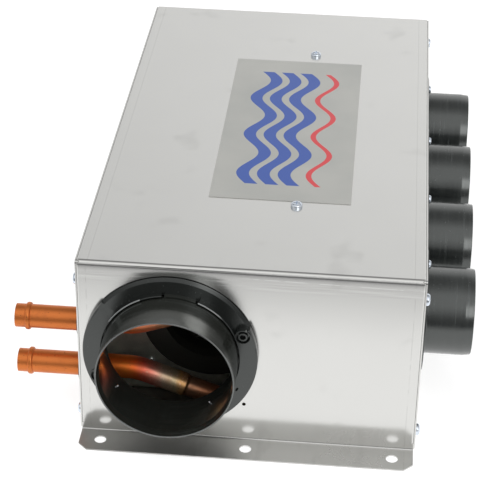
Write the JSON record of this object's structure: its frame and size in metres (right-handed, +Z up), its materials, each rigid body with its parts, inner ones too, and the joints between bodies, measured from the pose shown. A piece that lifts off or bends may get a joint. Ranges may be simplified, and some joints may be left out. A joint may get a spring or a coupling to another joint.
{
  "type": "ducted cabin air heater",
  "caption": "Hot-water-fed cabin air heater: a folded stainless casing with a blower and finned core, a large round air inlet, a row of round air outlets and copper hose tails.",
  "frame": {"origin": "centre of the mounting-hole pattern, on the base plane", "axes": "+Z up from the mounting flanges, -Y towards the large air inlet, +X towards the air outlets"},
  "size_m": [0.3061, 0.4607, 0.1376],
  "materials": {
    "stainless_sheet": "mill-finished stainless sheet, soft sheen with faint clouding",
    "inner_sheet": "plain galvanised sheet, dull",
    "zinc_screws": "bright zinc plating",
    "label_foil": "satin grey foil with a printed band pattern",
    "duct_plastic": "moulded dark grey plastic, semi-gloss",
    "blower_plastic": "black moulded plastic",
    "gasket_foam": "closed-cell foam",
    "grommet_rubber": "soft black rubber",
    "copper": "bare copper tube, heat-tinted near the brazed joints",
    "fin_aluminium": "thin plain fins",
    "motor_steel": "dark painted motor shell",
    "bearing_steel": "ground steel",
    "core_iron": "laminated iron",
    "terminal_plastic": "ivory moulded plastic"
  },
  "bodies": {
    "casing": {"casing_cover": "stainless_sheet", "base_plate": "stainless_sheet", "left_side_panel": "stainless_sheet", "right_side_panel": "stainless_sheet", "side_panel_screws": "zinc_screws", "top_screws": "zinc_screws", "label_plate": "label_foil", "inlet_ring": "duct_plastic", "inlet_ring_gasket": "gasket_foam", "inlet_spigot": "duct_plastic", "inlet_ring_screws": "zinc_screws", "spigot_screws": "zinc_screws", "outlet_1": "duct_plastic", "outlet_2": "duct_plastic", "outlet_3": "duct_plastic", "outlet_4": "duct_plastic", "outlet_gaskets": "gasket_foam", "outlet_screws": "zinc_screws", "flow_hose_tail": "copper", "return_hose_tail": "copper", "flow_core_pipe": "copper", "return_core_pipe": "copper", "pipe_grommets": "grommet_rubber", "core_hairpins": "copper", "core_fins": "fin_aluminium", "flow_header": "copper", "return_header": "copper", "core_front_plate": "inner_sheet", "core_back_plate": "inner_sheet", "core_top_bracket": "inner_sheet", "core_bottom_bracket": "inner_sheet", "blower_partition": "inner_sheet", "inlet_nozzle": "blower_plastic", "nozzle_screws": "zinc_screws", "motor_end_cap": "motor_steel", "motor_can": "motor_steel", "front_bearing": "bearing_steel", "rear_bearing": "bearing_steel", "stator": "core_iron", "motor_plate": "inner_sheet", "motor_standoffs": "inner_sheet", "standoff_screws": "zinc_screws", "motor_screws": "zinc_screws", "cable_grommet": "grommet_rubber", "terminal_block": "terminal_plastic"},
    "fan": {"impeller": "blower_plastic", "fan_shaft": "bearing_steel", "rotor": "core_iron"}
  },
  "joints": [
    {"name": "fan_spin", "type": "hinge", "parent": "casing", "child": "fan", "pos_m": [-0.029, -0.116, 0.067], "axis": [0, 1, 0], "continuous": true}
  ]
}
